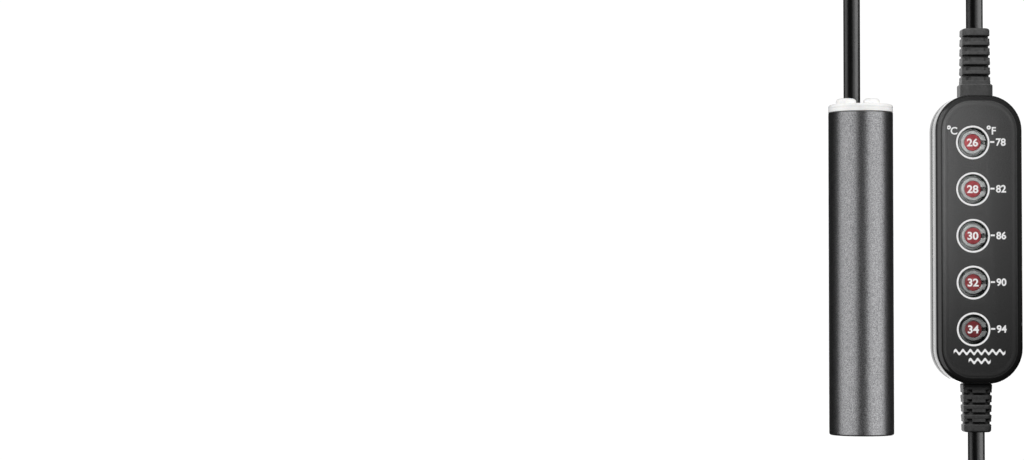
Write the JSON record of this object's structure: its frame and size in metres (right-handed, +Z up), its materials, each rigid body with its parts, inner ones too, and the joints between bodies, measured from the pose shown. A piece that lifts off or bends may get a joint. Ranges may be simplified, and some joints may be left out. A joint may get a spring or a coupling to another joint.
{
  "type": "submersible aquarium heater",
  "caption": "Small round aquarium heater with a wired thermostat: press-keys marked with temperatures, hinged on moulded arms, and a cord with a two-pin plug.",
  "frame": {"origin": "centre of the heating tube's flat foot", "axes": "+Z up the heating tube towards its white cap, -Y out of the thermostat's key panel, +X from the tube towards the thermostat and the plug"},
  "size_m": [0.0903, 0.02, 0.185],
  "materials": {
    "anodised": "dark grey anodised aluminium with a fine sand-blasted grain",
    "white_plastic": "white moulded plastic, lightly polished",
    "black_rubber": "black flexible cable sheath and moulded rubber, satin to glossy",
    "resin": "poured dark potting resin",
    "ceramic": "unglazed cream ceramic",
    "alloy_wire": "bare resistance wire, slightly heat-tinted",
    "mica": "brown mica insulation tube",
    "steel": "zinc-plated steel",
    "lead_wire": "red insulated hook-up wire",
    "case_black": "black ABS, fine texture on the front panel and smooth glossy sides",
    "plug_black": "black moulded plug plastic",
    "key_grey": "translucent smoke-grey moulded plastic",
    "key_red": "translucent red plastic with white numbers",
    "led_clear": "clear epoxy of a light-emitting diode, unlit",
    "switch_black": "black component plastic",
    "board_green": "green solder mask on glass-fibre board",
    "plated_brass": "nickel-plated brass pins with black insulating sleeves"
  },
  "bodies": {
    "heater": {"heater_tube": "anodised", "top_cap": "white_plastic", "cap_seal": "black_rubber", "upper_strain_relief": "black_rubber", "lower_strain_relief": "black_rubber", "heater_cable": "black_rubber", "power_cord": "black_rubber", "potting_plug": "resin", "ceramic_core": "ceramic", "lower_spacer": "ceramic", "upper_spacer": "ceramic", "heating_wire": "alloy_wire", "insulation_sleeve": "mica", "thermal_fuse": "steel", "water_sensor": "steel", "cutout_sensor": "steel", "fuse": "steel", "cover_screw_1": "steel", "cover_screw_2": "steel", "cover_screw_3": "steel", "cover_screw_4": "steel", "element_lead": "lead_wire", "heater_wires": "lead_wire", "supply_wires": "lead_wire", "front_cover": "case_black", "rear_cover": "case_black", "plug_body": "plug_black", "key_strip": "key_grey", "led_26": "led_clear", "led_28": "led_clear", "led_30": "led_clear", "led_32": "led_clear", "led_34": "led_clear", "switch_body_26": "switch_black", "switch_body_28": "switch_black", "switch_body_30": "switch_black", "switch_body_32": "switch_black", "switch_body_34": "switch_black", "triac": "switch_black", "capacitor": "switch_black", "control_chip": "switch_black", "circuit_board": "board_green", "plug_pin_1": "plated_brass", "plug_pin_2": "plated_brass"},
    "key_26": {"key_26": "key_grey", "key_lens_26": "key_red"},
    "plunger_26": {"switch_plunger_26": "white_plastic"},
    "key_28": {"key_28": "key_grey", "key_lens_28": "key_red"},
    "plunger_28": {"switch_plunger_28": "white_plastic"},
    "key_30": {"key_30": "key_grey", "key_lens_30": "key_red"},
    "plunger_30": {"switch_plunger_30": "white_plastic"},
    "key_32": {"key_32": "key_grey", "key_lens_32": "key_red"},
    "plunger_32": {"switch_plunger_32": "white_plastic"},
    "key_34": {"key_34": "key_grey", "key_lens_34": "key_red"},
    "plunger_34": {"switch_plunger_34": "white_plastic"}
  },
  "joints": [
    {"name": "key_26_press", "type": "hinge", "parent": "heater", "child": "key_26", "pos_m": [0.0398, -0.00505, 0.09049], "axis": [0, 0, -1], "range_deg": [0, 2], "stiffness_Nm_per_rad": 0.05},
    {"name": "plunger_26_slide", "type": "slide", "parent": "heater", "child": "plunger_26", "axis": [0, 1, 0], "range_m": [0, 0.00034]},
    {"name": "key_28_press", "type": "hinge", "parent": "heater", "child": "key_28", "pos_m": [0.0398, -0.00505, 0.07607], "axis": [0, 0, -1], "range_deg": [0, 2], "stiffness_Nm_per_rad": 0.05},
    {"name": "plunger_28_slide", "type": "slide", "parent": "heater", "child": "plunger_28", "axis": [0, 1, 0], "range_m": [0, 0.00034]},
    {"name": "key_30_press", "type": "hinge", "parent": "heater", "child": "key_30", "pos_m": [0.0398, -0.00505, 0.06165], "axis": [0, 0, -1], "range_deg": [0, 2], "stiffness_Nm_per_rad": 0.05},
    {"name": "plunger_30_slide", "type": "slide", "parent": "heater", "child": "plunger_30", "axis": [0, 1, 0], "range_m": [0, 0.00034]},
    {"name": "key_32_press", "type": "hinge", "parent": "heater", "child": "key_32", "pos_m": [0.0398, -0.00505, 0.04723], "axis": [0, 0, -1], "range_deg": [0, 2], "stiffness_Nm_per_rad": 0.05},
    {"name": "plunger_32_slide", "type": "slide", "parent": "heater", "child": "plunger_32", "axis": [0, 1, 0], "range_m": [0, 0.00034]},
    {"name": "key_34_press", "type": "hinge", "parent": "heater", "child": "key_34", "pos_m": [0.0398, -0.00505, 0.03281], "axis": [0, 0, -1], "range_deg": [0, 2], "stiffness_Nm_per_rad": 0.05},
    {"name": "plunger_34_slide", "type": "slide", "parent": "heater", "child": "plunger_34", "axis": [0, 1, 0], "range_m": [0, 0.00034]}
  ],
  "couplings": [
    {"joint": "plunger_26_slide", "follows": "key_26_press", "m_per_rad": 0.00945},
    {"joint": "plunger_28_slide", "follows": "key_28_press", "m_per_rad": 0.00945},
    {"joint": "plunger_30_slide", "follows": "key_30_press", "m_per_rad": 0.00945},
    {"joint": "plunger_32_slide", "follows": "key_32_press", "m_per_rad": 0.00945},
    {"joint": "plunger_34_slide", "follows": "key_34_press", "m_per_rad": 0.00945}
  ]
}
